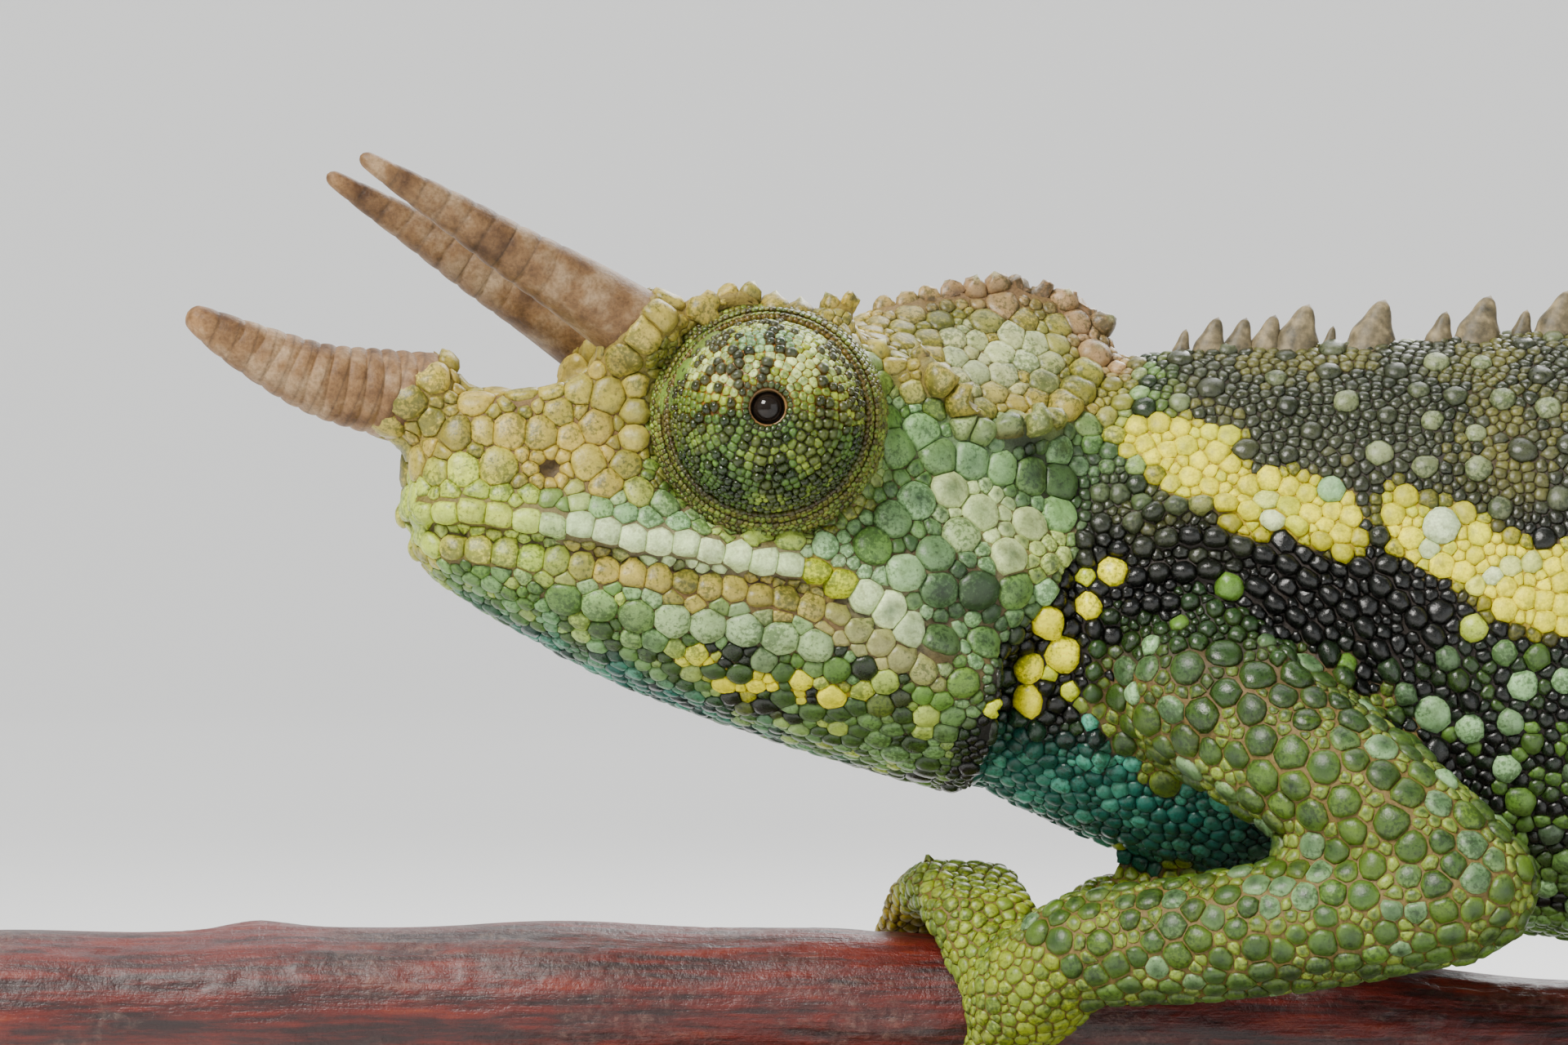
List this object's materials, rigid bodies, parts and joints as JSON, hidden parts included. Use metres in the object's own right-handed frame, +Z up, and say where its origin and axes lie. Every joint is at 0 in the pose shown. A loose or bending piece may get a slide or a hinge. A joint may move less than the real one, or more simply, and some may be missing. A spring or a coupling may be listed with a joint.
{
  "type": "jacksons chameleon",
  "caption": "Male horned chameleon at life size, creeping along a short cut length of branch that a plain display stand holds up.",
  "frame": {"origin": "centre of the stand's underside, on the floor", "axes": "+X runs from the head towards the tail along the branch, -Y is the animal's left side, which faces the camera, +Z is up"},
  "size_m": [0.1845, 0.066, 0.0739],
  "materials": {
    "head_skin": "scaly skin, yellow-green and sea-green with ochre ridges, satin",
    "trunk_skin": "scaly skin, near black with green and yellow patches, satin",
    "limb_skin": "scaly skin, green with brown seams, satin",
    "tail_skin": "scaly skin, banded green and dark green, satin",
    "eyelid_skin": "finely scaled lid skin, dark green, slightly glossy",
    "eye": "wet and glossy",
    "horn": "ringed keratin, dull with worn tips",
    "branch_wood": "smooth red-brown bark, damp",
    "stand_base": "satin dark grey",
    "stand_rod": "brushed"
  },
  "bodies": {
    "root": {"head": "head_skin", "lower_jaw": "head_skin", "horn_nose": "horn", "horn_brow_left": "horn", "horn_brow_right": "horn", "eye_turret_left": "eyelid_skin", "eye_turret_right": "eyelid_skin", "eye_left": "eye", "eye_right": "eye", "neck": "trunk_skin", "chest": "trunk_skin", "loin": "trunk_skin", "upper_arm_left": "limb_skin", "forearm_left": "limb_skin", "forefoot_left": "limb_skin", "upper_arm_right": "limb_skin", "forearm_right": "limb_skin", "forefoot_right": "limb_skin", "thigh_left": "limb_skin", "shin_left": "limb_skin", "hindfoot_left": "limb_skin", "thigh_right": "limb_skin", "shin_right": "limb_skin", "hindfoot_right": "limb_skin", "tail_root": "tail_skin", "tail_bend": "tail_skin", "tail_coil_low": "tail_skin", "tail_coil_high": "tail_skin", "tail_tip": "tail_skin", "branch": "branch_wood", "stand_base": "stand_base", "stand_rod_front": "stand_rod", "stand_rod_rear": "stand_rod"}
  },
  "joints": []
}
